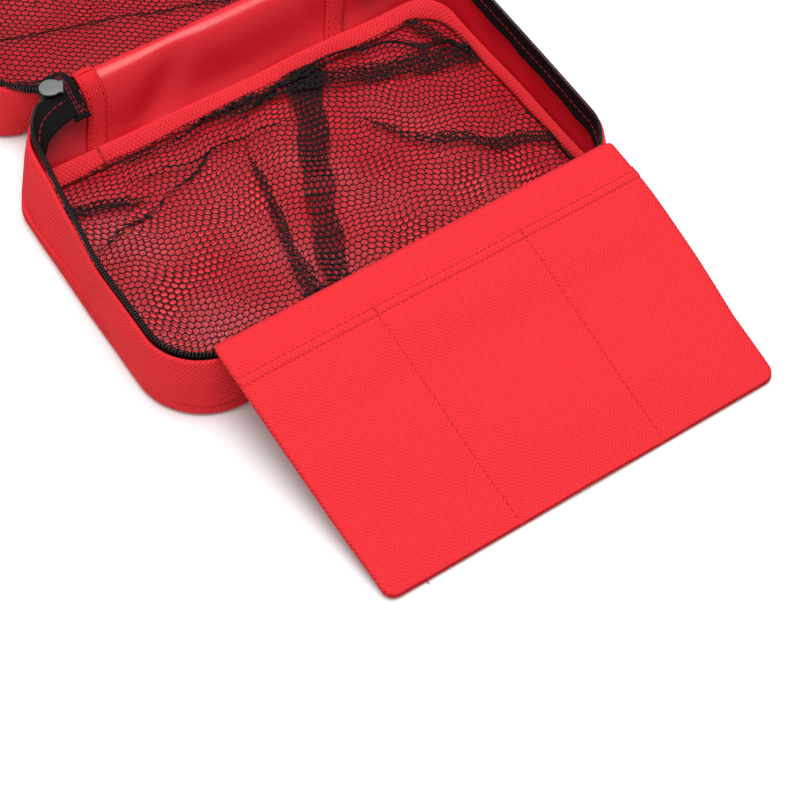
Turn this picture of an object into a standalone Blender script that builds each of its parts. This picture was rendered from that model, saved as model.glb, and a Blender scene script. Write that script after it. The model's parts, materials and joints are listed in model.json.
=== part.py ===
# Zip-around first aid kit, lying open: a tray (base), the matching lid behind it and a flap
# with three pockets that hangs out over the front rim. Metres, +Z up, +X along the long side,
# +Y towards the lid. The origin is the middle of the base floor's underside.
from math import cos, hypot, pi, radians, sin

import bmesh
import bpy
from mathutils import Vector

# --- driving dimensions -------------------------------------------------------------------
WALL_HEIGHT = 0.030          # height of the hinge line and of each half's rim
RIM_TOP = 0.0297             # top of the zip coil, just under the hinge line
FLOOR_HALF_LENGTH = 0.1090
FLOOR_FRONT = -0.069
FLOOR_BACK = 0.069
FLOOR_FRONT_RADIUS = 0.026
FLOOR_BACK_RADIUS = 0.024
RIM_HALF_LENGTH = 0.1085
RIM_FRONT = -0.063
RIDGE_Y = 0.095              # fold between base and lid, also the back of the rim
RIM_FRONT_RADIUS = 0.026
RIM_BACK_RADIUS = 0.040
ARC_STEPS = 8

GAP = 0.0003                 # clearance between touching pieces
CLOTH = 0.0012               # thickness of the shell fabric with its coating
PANEL = 0.0016               # thickness of the floor and top panels
SEAM_HALF_SPAN = 0.068       # the side gusset starts here, either side of the spine panel
BINDING_WIDTH = 0.0034
SPINE_TOP = 0.0288
GUSSET_TOP = 0.022

TAPE = 0.0008                # zip tape thickness
TAPE_BOTTOM = 0.0145
TAPE_TOP = 0.0282
COIL_WIDTH = 0.0024
TAPE_START_STEP = 3          # the free zip tape starts this far round the back corner

FLAP_CENTRE_X = 0.005
FLAP_WIDTH = 0.188
FLAP_FOLD = (-0.0645, 0.0310)      # y, z where the flap turns down over the rim
FLAP_END = (-0.1762, 0.0012)       # y, z of its lower edge
FLAP_CORNER = 0.010
FLAP_HINGE = (-0.0585, 0.0205)     # y, z of the line where the flap is sewn inside the wall
FLAP_CLOTH = 0.0009
POCKET_START = 0.014               # from the fold to the pockets' mouth
HEM_DEPTH = 0.0045

SLIDER_X = 0.078
SLIDER_LENGTH = 0.010
SLIDER_WIDTH = 0.0085
SLIDER_GAP = 0.0026          # room between the two plates for the closed zip
SLIDER_PLATE = 0.0010
ZIP_END_INNER = 0.0685
ZIP_END_OUTER = 0.0805
PULL_DROP = 0.0036           # from the hinge line down to the pull's swing axis
PULL_LENGTH = 0.0215
PULL_WIDTH = 0.006

COLOURS = {
    "red_cloth": ((0.82, 0.06, 0.07), 0.75, 0.0),
    "red_coated": ((0.62, 0.03, 0.05), 0.25, 0.0),
    "red_binding": ((0.86, 0.07, 0.08), 0.6, 0.0),
    "black_tape": ((0.015, 0.012, 0.012), 0.8, 0.0),
    "black_coil": ((0.02, 0.02, 0.02), 0.35, 0.0),
    "black_net": ((0.012, 0.010, 0.010), 0.7, 0.0),
    "grey_metal": ((0.35, 0.35, 0.36), 0.35, 0.9),
}


# --- scene and piece helpers --------------------------------------------------------------
def clear_scene():
    for obj in list(bpy.data.objects):
        bpy.data.objects.remove(obj, do_unlink=True)


def make_material(name):
    colour, roughness, metallic = COLOURS[name]
    material = bpy.data.materials.new(name)
    material.use_nodes = True
    shader = material.node_tree.nodes["Principled BSDF"]
    shader.inputs["Base Color"].default_value = (*colour, 1.0)
    shader.inputs["Roughness"].default_value = roughness
    shader.inputs["Metallic"].default_value = metallic
    return material


def make_pivot(name, location, parent=None):
    """An empty on a joint's axis; its pieces hang from it."""
    pivot = bpy.data.objects.new(name, None)
    bpy.context.collection.objects.link(pivot)
    pivot.parent = parent
    here = Vector(location)
    pivot["world"] = here
    pivot.location = here - Vector(parent["world"]) if parent else here
    return pivot


def add_piece(name, bm, material, pivot):
    """One closed solid, its points given in world coordinates."""
    bmesh.ops.recalc_face_normals(bm, faces=bm.faces)
    bmesh.ops.translate(bm, verts=bm.verts, vec=-Vector(pivot["world"]))
    mesh = bpy.data.meshes.new(name)
    bm.to_mesh(mesh)
    bm.free()
    mesh.materials.append(material)
    mesh.set_sharp_from_angle(angle=radians(35))
    obj = bpy.data.objects.new(name, mesh)
    bpy.context.collection.objects.link(obj)
    obj.parent = pivot
    return obj


def mirrored(points, is_lid):
    """The lid is the base turned over the fold line."""
    if not is_lid:
        return points
    return [Vector((p.x, 2.0 * RIDGE_Y - p.y, p.z)) for p in points]


def sweep(rows, is_ring=False):
    """Joins rows of equal length, one for each corner of the cross-section, into one solid."""
    bm = bmesh.new()
    loops = [[bm.verts.new(p) for p in row] for row in rows]
    count = len(rows[0])
    last = count if is_ring else count - 1
    for side, loop in enumerate(loops):
        following = loops[(side + 1) % len(loops)]
        for i in range(last):
            k = (i + 1) % count
            bm.faces.new((loop[i], loop[k], following[k], following[i]))
    if not is_ring:
        bm.faces.new([loop[0] for loop in loops])
        bm.faces.new([loop[-1] for loop in reversed(loops)])
    return bm


def slab(outline, z_low, z_high):
    """A flat plate between two heights, from a closed outline of (x, y) points."""
    bm = bmesh.new()
    low = [bm.verts.new((x, y, z_low)) for x, y in outline]
    high = [bm.verts.new((x, y, z_high)) for x, y in outline]
    for i in range(len(outline)):
        k = (i + 1) % len(outline)
        bm.faces.new((low[i], low[k], high[k], high[i]))
    bm.faces.new(low[::-1])
    bm.faces.new(high)
    return bm


def block(low, high):
    """A box from its lowest and highest corners."""
    bm = bmesh.new()
    bmesh.ops.create_cube(bm, size=1.0)
    size = Vector(high) - Vector(low)
    bmesh.ops.scale(bm, vec=size, verts=bm.verts)
    bmesh.ops.translate(bm, vec=(Vector(high) + Vector(low)) / 2.0, verts=bm.verts)
    return bm


# --- the wall: its plan changes from the floor outline to the rim outline -------------------
def plan_outline(half_length, front, back, front_radius, back_radius):
    """Open outline, from the spine's left end round the left, front and right sides."""
    points = [(-SEAM_HALF_SPAN, back)]
    corners = (
        (-(half_length - back_radius), back - back_radius, back_radius, pi / 2),
        (-(half_length - front_radius), front + front_radius, front_radius, pi),
        (half_length - front_radius, front + front_radius, front_radius, 3 * pi / 2),
        (half_length - back_radius, back - back_radius, back_radius, 2 * pi),
    )
    for x, y, radius, start in corners:
        for step in range(ARC_STEPS + 1):
            angle = start + step * pi / 2 / ARC_STEPS
            points.append((x + radius * cos(angle), y + radius * sin(angle)))
    points.append((SEAM_HALF_SPAN, back))
    return points


FLOOR_PLAN = plan_outline(
    FLOOR_HALF_LENGTH, FLOOR_FRONT, FLOOR_BACK, FLOOR_FRONT_RADIUS, FLOOR_BACK_RADIUS
)
RIM_PLAN = plan_outline(RIM_HALF_LENGTH, RIM_FRONT, RIDGE_Y, RIM_FRONT_RADIUS, RIM_BACK_RADIUS)


def wall_plan(z):
    """The wall's outer outline at a height."""
    t = z / WALL_HEIGHT
    return [
        (fx + (rx - fx) * t, fy + (ry - fy) * t)
        for (fx, fy), (rx, ry) in zip(FLOOR_PLAN, RIM_PLAN, strict=True)
    ]


def inset_plan(plan, inset):
    """The same outline moved inwards. It runs anticlockwise, so inwards is to the left."""
    moved = []
    for i, (x, y) in enumerate(plan):
        before = plan[i - 1] if i else (x + 1.0, y)
        after = plan[i + 1] if i < len(plan) - 1 else (x - 1.0, y)
        first = edge_normal(before, (x, y))
        second = edge_normal((x, y), after)
        middle = (first[0] + second[0], first[1] + second[1])
        length = hypot(*middle)
        unit = (middle[0] / length, middle[1] / length)
        reach = inset / (unit[0] * first[0] + unit[1] * first[1])
        moved.append((x + unit[0] * reach, y + unit[1] * reach))
    return moved


def edge_normal(start, end):
    dx = end[0] - start[0]
    dy = end[1] - start[1]
    length = hypot(dx, dy)
    return (-dy / length, dx / length)


def wall_row(z, inset, first=0, last=None):
    plan = inset_plan(wall_plan(z), inset)[first:last]
    return [Vector((x, y, z)) for x, y in plan]


def wall_strip(z_low, z_high, inset_out, inset_in, is_lid, skip=0, is_ring=False):
    """A band along the wall, between two heights and two insets from its outer face."""
    last = -skip if skip else None
    rows = [
        wall_row(z_low, inset_out, skip, last),
        wall_row(z_high, inset_out, skip, last),
        wall_row(z_high, inset_in, skip, last),
        wall_row(z_low, inset_in, skip, last),
    ]
    return sweep([mirrored(row, is_lid) for row in rows], is_ring)


def spine_strip(x_low, x_high, z_low, z_high, inset_out, inset_in, is_lid):
    """A band of the leaning back wall between two x values."""
    rows = []
    for z, inset in ((z_low, inset_out), (z_high, inset_out), (z_high, inset_in), (z_low, inset_in)):
        y = FLOOR_BACK + (RIDGE_Y - FLOOR_BACK) * z / WALL_HEIGHT - inset
        rows.append([Vector((x_low, y, z)), Vector((x_high, y, z))])
    return sweep([mirrored(row, is_lid) for row in rows])


# --- one half of the shell ------------------------------------------------------------------
def build_half(prefix, panel_name, is_lid, materials, pivot):
    spine_half = SEAM_HALF_SPAN - BINDING_WIDTH - 2 * GAP
    spine_inset = CLOTH / 0.75
    floor_inset = spine_inset + 2 * GAP
    plan = inset_plan(FLOOR_PLAN, floor_inset)
    if is_lid:
        plan = [(x, 2.0 * RIDGE_Y - y) for x, y in reversed(plan)]
    add_piece(f"{prefix}_{panel_name}", slab(plan, 0.0, PANEL), materials["red_cloth"], pivot)

    gusset = wall_strip(0.0, GUSSET_TOP, 0.0, CLOTH, is_lid)
    add_piece(f"{prefix}_gusset", gusset, materials["red_cloth"], pivot)

    spine = spine_strip(-spine_half, spine_half, 0.0, SPINE_TOP, 0.0, spine_inset, is_lid)
    add_piece(f"{prefix}_spine_panel", spine, materials["red_coated"], pivot)

    for side, name in ((-1, "left"), (1, "right")):
        inner = side * (spine_half + GAP)
        outer = side * (SEAM_HALF_SPAN - GAP)
        bounds = (min(inner, outer), max(inner, outer))
        binding = spine_strip(*bounds, 0.0, SPINE_TOP, 0.0, spine_inset + GAP, is_lid)
        add_piece(f"{prefix}_spine_binding_{name}", binding, materials["red_binding"], pivot)

    ring_out = spine_inset + 2 * GAP
    ring_in = ring_out + 0.0045
    ring_low = PANEL + GAP
    ring_high = ring_low + 0.0035
    ring = wall_strip(ring_low, ring_high, ring_out, ring_in, is_lid, is_ring=True)
    add_piece(f"{prefix}_floor_binding", ring, materials["red_binding"], pivot)

    net_low = PANEL + 0.0020
    net_high = net_low + 0.0008
    net_plan = inset_plan(wall_plan(net_low), ring_in + GAP)
    if is_lid:
        net_plan = [(x, 2.0 * RIDGE_Y - y) for x, y in reversed(net_plan)]
    net = slab(net_plan, net_low, net_high)
    add_piece(f"{prefix}_mesh_pocket", net, materials["black_net"], pivot)

    band_low = net_high + GAP
    ends = (FLOOR_BACK - 0.0115, FLOOR_BACK - 0.0085)
    band_y = sorted(2.0 * RIDGE_Y - y for y in ends) if is_lid else ends
    band = block((-0.092, band_y[0], band_low), (0.092, band_y[1], band_low + 0.003))
    add_piece(f"{prefix}_mesh_elastic", band, materials["black_net"], pivot)

    skip = 1 + TAPE_START_STEP
    tape_out = CLOTH + GAP
    tape = wall_strip(TAPE_BOTTOM, TAPE_TOP, tape_out, tape_out + TAPE, is_lid, skip)
    add_piece(f"{prefix}_zip_tape", tape, materials["black_tape"], pivot)

    coil_out = tape_out - 0.0009
    coil = wall_strip(TAPE_TOP + GAP, RIM_TOP, coil_out, coil_out + COIL_WIDTH, is_lid, skip)
    add_piece(f"{prefix}_zip_coil", coil, materials["black_coil"], pivot)


# --- the flap with its pockets --------------------------------------------------------------
def flap_slope():
    """Length of the flap below its fold, and the unit vectors along and off its cloth."""
    dy = FLAP_END[0] - FLAP_FOLD[0]
    dz = FLAP_END[1] - FLAP_FOLD[1]
    length = hypot(dy, dz)
    along = (dy / length, dz / length)
    off = (along[1], -along[0])
    return length, along, off


def flap_layer(start, lift, thickness, stop=None, has_top=False):
    """A layer of the flap, from a distance below the fold to the lower edge, which has round
    corners; lift is its height over the middle of the backing cloth."""
    length, along, off = flap_slope()
    stop = length if stop is None else stop
    half = FLAP_WIDTH / 2
    stations = [(start, half)]
    if stop > length - FLAP_CORNER:
        stations.append((length - FLAP_CORNER, half))
        for step in range(1, 5):
            angle = step * pi / 8
            v = length - FLAP_CORNER + FLAP_CORNER * sin(angle)
            stations.append((v, half - FLAP_CORNER * (1.0 - cos(angle))))
    else:
        stations.append((stop, half))
    rows = [[], [], [], []]
    if has_top:
        inner_half = half - 0.009
        top_z = FLAP_FOLD[1] + lift
        for x_sign, row_low, row_high in ((-1, 3, 0), (1, 2, 1)):
            x = FLAP_CENTRE_X + x_sign * inner_half
            rows[row_high].append(Vector((x, FLAP_HINGE[0] + 0.0006, top_z + thickness)))
            rows[row_low].append(Vector((x, FLAP_HINGE[0] + 0.0006, top_z)))
    for v, half_here in stations:
        y = FLAP_FOLD[0] + along[0] * v
        z = FLAP_FOLD[1] + along[1] * v
        for x_sign, row_low, row_high in ((-1, 3, 0), (1, 2, 1)):
            x = FLAP_CENTRE_X + x_sign * half_here
            for row, height in ((row_low, lift), (row_high, lift + thickness)):
                rows[row].append(Vector((x, y - off[0] * -height, z + abs(off[1]) * height)))
    return sweep(rows)


def build_flap(materials, pivot):
    lift = -FLAP_CLOTH / 2
    backing = flap_layer(0.0, lift, FLAP_CLOTH, has_top=True)
    add_piece("flap_backing", backing, materials["red_cloth"], pivot)

    pocket_lift = lift + FLAP_CLOTH + GAP
    pocket = flap_layer(POCKET_START, pocket_lift, 0.0008)
    add_piece("flap_pocket_panel", pocket, materials["red_cloth"], pivot)

    hem_lift = pocket_lift + 0.0008 + GAP
    hem = flap_layer(POCKET_START, hem_lift, 0.0006, stop=POCKET_START + HEM_DEPTH)
    add_piece("flap_pocket_hem", hem, materials["red_cloth"], pivot)

    half = FLAP_WIDTH / 2 - 0.016
    low = (FLAP_CENTRE_X - half, FLAP_HINGE[0] - 0.0004, FLAP_HINGE[1])
    high = (FLAP_CENTRE_X + half, FLAP_HINGE[0] + 0.0004, FLAP_FOLD[1] + lift - GAP)
    add_piece("flap_hinge_strip", block(low, high), materials["red_cloth"], pivot)


# --- zip ends, sliders and pulls ------------------------------------------------------------
def shield_outline(side):
    """A slider plate: round at its mouth, which faces away from the spine, and narrower at its
    tail."""
    half = SLIDER_WIDTH / 2
    x_mouth = SLIDER_X + SLIDER_LENGTH / 2
    x_tail = SLIDER_X - SLIDER_LENGTH / 2
    centre_x = x_mouth - half
    points = []
    for step in range(9):
        angle = -pi / 2 + step * pi / 8
        points.append((centre_x + half * cos(angle), half * sin(angle)))
    points.append((x_tail, half * 0.62))
    points.append((x_tail, -half * 0.62))
    outline = [(side * x, RIDGE_Y + y) for x, y in points]
    return outline if side > 0 else outline[::-1]


def union_into(target, others):
    for other in others:
        modifier = target.modifiers.new("join", "BOOLEAN")
        modifier.operation = "UNION"
        modifier.object = other
        other.hide_render = True
        other.display_type = "WIRE"


def build_slider(side, name, materials, pivot):
    """Two plates joined by a post between the teeth, and an arch below for the pull."""
    plate_low = WALL_HEIGHT + SLIDER_GAP / 2
    outline = shield_outline(side)
    metal = materials["grey_metal"]
    top = slab(outline, plate_low, plate_low + SLIDER_PLATE)
    body = add_piece(f"slider_body_{name}", top, metal, pivot)
    bottom_low = WALL_HEIGHT - SLIDER_GAP / 2 - SLIDER_PLATE
    bottom = slab(outline, bottom_low, bottom_low + SLIDER_PLATE)
    cutters = [add_piece(f"cutter_plate_{name}", bottom, metal, pivot)]
    post_x = side * (SLIDER_X + SLIDER_LENGTH / 2 - 0.0014)
    inside = SLIDER_PLATE / 2
    post_low = (post_x - 0.0006, RIDGE_Y - 0.0004, bottom_low + inside)
    post_high = (post_x + 0.0006, RIDGE_Y + 0.0004, plate_low + inside)
    cutters.append(add_piece(f"cutter_post_{name}", block(post_low, post_high), metal, pivot))
    arch = arch_block(side, bottom_low)
    cutters.append(add_piece(f"cutter_arch_{name}", arch, metal, pivot))
    union_into(body, cutters)


def arch_block(side, plate_underside):
    """The bridge under the lower plate: two legs and a bar, with room for the pull's pin."""
    x_mid = side * SLIDER_X
    half_y = 0.0007
    pin_z = WALL_HEIGHT - PULL_DROP
    leg = 0.0009
    reach = 0.0022
    bottom = pin_z - 0.0018
    profile = (
        (-reach, plate_underside + 0.0005), (-reach, bottom), (reach, bottom),
        (reach, plate_underside + 0.0005), (reach - leg, plate_underside + 0.0005),
        (reach - leg, bottom + leg), (leg - reach, bottom + leg),
        (leg - reach, plate_underside + 0.0005),
    )
    rows = [
        [Vector((x_mid + x, RIDGE_Y - half_y, z)), Vector((x_mid + x, RIDGE_Y + half_y, z))]
        for x, z in profile
    ]
    return sweep(rows)


def build_pull(side, name, materials, pivot):
    """A pin through the slider's arch, two side bars and a flat grip that hangs down."""
    x = side * SLIDER_X
    pin_z = WALL_HEIGHT - PULL_DROP
    pin = 0.00045
    half = 0.0026
    bar = 0.0010
    frame_drop = 0.0036
    outline = (
        (-half, pin), (-half, -frame_drop), (-PULL_WIDTH / 2, -frame_drop - 0.0015),
        (-PULL_WIDTH / 2, -PULL_LENGTH + 0.0015), (-PULL_WIDTH / 2 + 0.0015, -PULL_LENGTH),
        (PULL_WIDTH / 2 - 0.0015, -PULL_LENGTH), (PULL_WIDTH / 2, -PULL_LENGTH + 0.0015),
        (PULL_WIDTH / 2, -frame_drop - 0.0015), (half, -frame_drop), (half, pin),
    )
    rows = [
        [Vector((x - pin, RIDGE_Y + y, pin_z + z)), Vector((x + pin, RIDGE_Y + y, pin_z + z))]
        for y, z in outline
    ]
    body = add_piece(f"pull_tab_{name}", sweep(rows), materials["grey_metal"], pivot)
    window = block(
        (x - 0.002, RIDGE_Y - half + bar, pin_z - frame_drop),
        (x + 0.002, RIDGE_Y + half - bar, pin_z - pin),
    )
    cutter = add_piece(f"cutter_window_{name}", window, materials["grey_metal"], pivot)
    modifier = body.modifiers.new("window", "BOOLEAN")
    modifier.operation = "DIFFERENCE"
    modifier.object = cutter
    cutter.hide_render = True
    cutter.display_type = "WIRE"


def build_zip_end(side, name, materials, pivot):
    """The closed end of the zip: two short tapes with a slot between them for the slider's
    post, joined at the spine by a folded end tab."""
    slot = 0.0007
    reach = 0.0052
    thick = 0.0007
    join = 0.0020
    profile = (
        (ZIP_END_INNER, -reach), (ZIP_END_OUTER, -reach), (ZIP_END_OUTER, -slot),
        (ZIP_END_INNER + join, -slot), (ZIP_END_INNER + join, slot), (ZIP_END_OUTER, slot),
        (ZIP_END_OUTER, reach), (ZIP_END_INNER, reach),
    )
    outline = [(side * x, RIDGE_Y + y) for x, y in profile]
    if side < 0:
        outline.reverse()
    end = slab(outline, WALL_HEIGHT - thick, WALL_HEIGHT + thick)
    add_piece(f"zip_end_{name}", end, materials["black_tape"], pivot)


def main():
    clear_scene()
    materials = {name: make_material(name) for name in COLOURS}
    base_pivot = make_pivot("base_frame", (0.0, 0.0, 0.0))
    build_half("base", "floor_panel", False, materials, base_pivot)
    lid_pivot = make_pivot("lid_hinge_axis", (0.0, RIDGE_Y, WALL_HEIGHT), base_pivot)
    build_half("lid", "top_panel", True, materials, lid_pivot)
    flap_pivot = make_pivot("flap_hinge_axis", (0.0, *FLAP_HINGE), base_pivot)
    build_flap(materials, flap_pivot)
    for side, name in ((-1, "left"), (1, "right")):
        here = (side * SLIDER_X, RIDGE_Y, WALL_HEIGHT)
        end_pivot = make_pivot(f"zip_end_axis_{name}", here, base_pivot)
        build_zip_end(side, name, materials, end_pivot)
        slider_pivot = make_pivot(f"slider_frame_{name}", here, end_pivot)
        build_slider(side, name, materials, slider_pivot)
        pin = (side * SLIDER_X, RIDGE_Y, WALL_HEIGHT - PULL_DROP)
        pull_pivot = make_pivot(f"pull_axis_{name}", pin, slider_pivot)
        build_pull(side, name, materials, pull_pivot)


main()
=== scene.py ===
# Looks of the zip-around first aid kit: cloth shell, net pockets, zip and pocket flap.
# Lengths inside the shape functions are millimetres; makePiece turns them into metres.
import json

import bmesh
import bpy
import numpy as np
from mathutils import Matrix, Vector


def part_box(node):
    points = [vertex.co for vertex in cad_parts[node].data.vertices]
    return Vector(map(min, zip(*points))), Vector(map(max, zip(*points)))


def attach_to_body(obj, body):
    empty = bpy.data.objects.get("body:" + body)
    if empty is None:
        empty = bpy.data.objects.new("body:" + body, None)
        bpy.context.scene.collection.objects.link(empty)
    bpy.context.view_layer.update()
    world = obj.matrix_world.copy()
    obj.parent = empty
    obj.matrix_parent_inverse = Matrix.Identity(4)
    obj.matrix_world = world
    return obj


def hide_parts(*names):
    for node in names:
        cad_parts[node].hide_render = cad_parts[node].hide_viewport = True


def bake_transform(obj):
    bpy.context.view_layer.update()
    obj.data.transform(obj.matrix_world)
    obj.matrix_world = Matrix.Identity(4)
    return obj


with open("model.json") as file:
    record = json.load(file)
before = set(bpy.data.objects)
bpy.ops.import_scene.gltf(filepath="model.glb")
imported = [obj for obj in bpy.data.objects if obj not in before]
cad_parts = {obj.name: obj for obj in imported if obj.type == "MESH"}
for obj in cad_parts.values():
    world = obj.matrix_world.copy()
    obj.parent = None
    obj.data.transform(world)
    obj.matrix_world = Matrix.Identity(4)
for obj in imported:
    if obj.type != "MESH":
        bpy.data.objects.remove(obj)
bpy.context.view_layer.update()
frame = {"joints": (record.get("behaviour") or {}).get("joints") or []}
mm = 0.001


def nodeBox(node):
    # lowest and highest corner of a CAD node, in millimetres
    low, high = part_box(node)
    return np.array(low) / mm, np.array(high) / mm


def jointPoint(name):
    # a point on a joint's axis, in millimetres
    joint = next(j for j in frame["joints"] if j["name"] == name)
    return np.array(joint["pos_m"]) / mm


# sizes that several pieces share
ridge = jointPoint("lid_hinge")
gussetLow, gussetHigh = nodeBox("base_gusset")
coilLow, coilHigh = nodeBox("base_zip_coil")
rimX, rimFront = coilHigh[0], coilLow[1] - 0.9
floorX, floorFront = gussetHigh[0], gussetLow[1] - 1.8
shell = {
    "height": ridge[2],            # of the fold and of both rims
    "ridgeY": ridge[1],
    "cloth": 1.1,
    "gussetTop": 27.4,
    "under": 0.6,                  # the lowest cloth lies this far above the table
    "bottomRadius": 2.2,
}
# each half's outlines as corners (x, y, rounding), from the left seam round to the right one;
# the soft case stands a little crooked: its floor lies to the left of its rim. Then where the
# spine's seams lie across it at the floor and at the fold, the part of the height over which they
# lean, and the spine's side view as four control points (y, z).
# The lid's are given mirrored in the fold, as if it were a second base.
halves = {
    "base": {
        "rim": [
            (-64, ridge[1]), (12 - rimX, ridge[1], 26), (-rimX - 0.2, 3, 120), (0.6 - rimX, rimFront, 26),
            (rimX - 1.0, rimFront, 25), (rimX + 1.3, 0, 120), (rimX + 4.0, ridge[1], 36), (60, ridge[1]),
        ],
        "floor": [
            (-71.5, 75.6), (-floorX - 5.0, 75.6, 17), (-floorX - 6.0, 5, 120),
            (-floorX - 5.6, floorFront, 31), (floorX - 5.2, floorFront, 27), (floorX - 4.2, 0, 120),
            (floorX - 4.6, 75.2, 18), (52, 75.2),
        ],
        "floorBack": 75.6,
        "seamLeft": (-70.5, -62.2), "seamRight": (50.0, 58.0), "seamRise": (0.0, 0.75),
        "spine": [(73.6, 3.4), (82.0, 6.0), (85.0, 25.5), (92.4, 29.3)],
    },
    "lid": {
        "rim": [
            (-64, ridge[1]), (12 - rimX, ridge[1], 34), (5 - rimX, 20, 120), (2 - rimX, rimFront, 26),
            (rimX, rimFront, 26), (rimX, 0, 120), (rimX + 1.0, ridge[1], 38), (60, ridge[1]),
        ],
        "floor": [
            (-68, 85.0), (-floorX, 84.8, 22), (-floorX - 1.0, 5, 120), (-floorX - 0.5, floorFront, 30),
            (floorX + 1.5, floorFront, 30), (floorX + 1.5, 0, 120), (floorX - 2.0, 84.8, 24), (62, 85.0),
        ],
        "floorBack": 85.0,
        "seamLeft": (-66.0, -62.2), "seamRight": (61.0, 58.0), "seamRise": (0.0, 1.0),
        "spine": [(84.6, 2.8), (87.6, 9.0), (89.6, 22.0), (92.6, 29.1)],
    },
}


# mesh helpers
def makePiece(name, points, faces, materials, uv=None, faceMaterial=None, smooth=True):
    # points in mm; faces an (n, 3 or 4) array; uv one pair of cloth coordinates (mm) per point
    mesh = bpy.data.meshes.new(name)
    points = np.asarray(points, float).reshape(-1, 3)
    faces = [np.asarray(f, int) for f in (faces if isinstance(faces, list) else [faces])]
    loops = np.concatenate([f.ravel() for f in faces])
    sizes = np.concatenate([np.full(len(f), f.shape[1]) for f in faces])
    starts = np.concatenate([[0], np.cumsum(sizes)[:-1]])
    mesh.vertices.add(len(points))
    mesh.vertices.foreach_set("co", (points * mm).ravel())
    mesh.loops.add(len(loops))
    mesh.loops.foreach_set("vertex_index", loops)
    mesh.polygons.add(len(sizes))
    mesh.polygons.foreach_set("loop_start", starts)
    mesh.polygons.foreach_set("use_smooth", np.full(len(sizes), smooth))
    if faceMaterial is not None:
        mesh.polygons.foreach_set("material_index", np.asarray(faceMaterial, int))
    if uv is not None:
        layer = mesh.uv_layers.new(name="cloth")
        layer.data.foreach_set("uv", np.asarray(uv, float).reshape(-1, 2)[loops].ravel())
    mesh.update(calc_edges=True)
    mesh.validate()
    piece = bpy.data.objects.new(name, mesh)
    bpy.context.collection.objects.link(piece)
    for material in materials if isinstance(materials, (list, tuple)) else [materials]:
        mesh.materials.append(material)
    return piece


def attach(piece, body, slot, *nodes):
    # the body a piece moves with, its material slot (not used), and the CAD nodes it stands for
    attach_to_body(piece, body)
    if nodes:
        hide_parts(*nodes)
    return piece


def bendOverFold(piece):
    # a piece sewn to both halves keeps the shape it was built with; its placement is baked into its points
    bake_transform(piece)


def gridQuads(rows, columns, closedRows=False, closedColumns=False):
    # quads of a grid whose point (i, j) has number i * columns + j
    i = np.arange(rows if closedRows else rows - 1)
    j = np.arange(columns if closedColumns else columns - 1)
    i, j = np.meshgrid(i, j, indexing="ij")
    i2, j2 = (i + 1) % rows, (j + 1) % columns
    corners = (i * columns + j, i2 * columns + j, i2 * columns + j2, i * columns + j2)
    return np.stack([c.ravel() for c in corners], 1)


def unit(vectors):
    # each vector divided by its length
    return vectors / np.maximum(np.linalg.norm(vectors, axis=-1, keepdims=True), 1e-9)


def spread(*parts):
    # numbers and arrays stretched to one shape, side by side in the last axis
    return np.stack(np.broadcast_arrays(*parts), -1)


def between(pair, share):
    # from the first value of a pair to the second as share goes from 0 to 1
    return pair[0] * (1 - share) + pair[1] * share


def oval(count, wide, high):
    # points round an oval, (wide cos a, high sin a)
    a = np.linspace(0, 2 * np.pi, count, endpoint=False)
    return np.stack([np.cos(a) * wide, np.sin(a) * high], 1)


def surfaceNormals(grid, closedRows=False):
    # cross product of the two directions of a grid of points
    if closedRows:
        along = np.roll(grid, -1, 0) - np.roll(grid, 1, 0)
    else:
        along = np.gradient(grid, axis=0)
    across = np.gradient(grid, axis=1)
    return unit(np.cross(along, across))


def thickSheet(name, grid, uv, thickness, materials, closedRows=False, flip=False):
    # a sheet of cloth: the grid moved half a thickness to each side, joined round the edges
    rows, columns = grid.shape[:2]
    normals = surfaceNormals(grid, closedRows) * (-1 if flip else 1)
    front = grid + normals * thickness / 2
    back = grid - normals * thickness / 2
    count = rows * columns
    quads = gridQuads(rows, columns, closedRows)
    if flip:
        quads = quads[:, ::-1]
    faces = [quads, quads[:, ::-1] + count]
    number = np.arange(count).reshape(rows, columns)
    edges = [(number[:, 0], -1), (number[:, -1], 1)]
    if not closedRows:
        edges += [(number[0], 1), (number[-1], -1)]
    for line, turn in edges:
        if closedRows:
            line = np.append(line, line[0])
        a, b = line[:-1], line[1:]
        strip = np.stack([a, b, b + count, a + count], 1)
        faces.append(strip if (turn > 0) != flip else strip[:, ::-1])
    kind = [0] * len(quads) + [1] * len(quads) + [0] * sum(len(f) for f in faces[2:])
    if len(materials) < 2:
        kind = None
    points = np.concatenate([front.reshape(-1, 3), back.reshape(-1, 3)])
    flat = np.asarray(uv, float).reshape(-1, 2)
    return makePiece(name, points, [np.concatenate(faces)], materials, np.concatenate([flat, flat]), kind)


def tube(path, frameA, frameB, profile, closed=False):
    # a closed profile, pairs (a, b), carried along a path with the two cross directions given
    a = profile[None, :, 0, None] * frameA[:, None, :]
    b = profile[None, :, 1, None] * frameB[:, None, :]
    points = path[:, None, :] + a + b
    rows, columns = points.shape[:2]
    faces = [gridQuads(rows, columns, closed, True)]
    if not closed:
        faces.append(endFans(rows, columns))
    return points.reshape(-1, 3), faces


def endFans(rows, columns):
    # triangles that close the first and the last ring of a tube
    ring = np.arange(columns)
    fan = np.stack([np.full(columns - 2, 0), ring[1:-1], ring[2:]], 1)
    return np.concatenate([fan, fan[:, ::-1] + (rows - 1) * columns])


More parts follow.
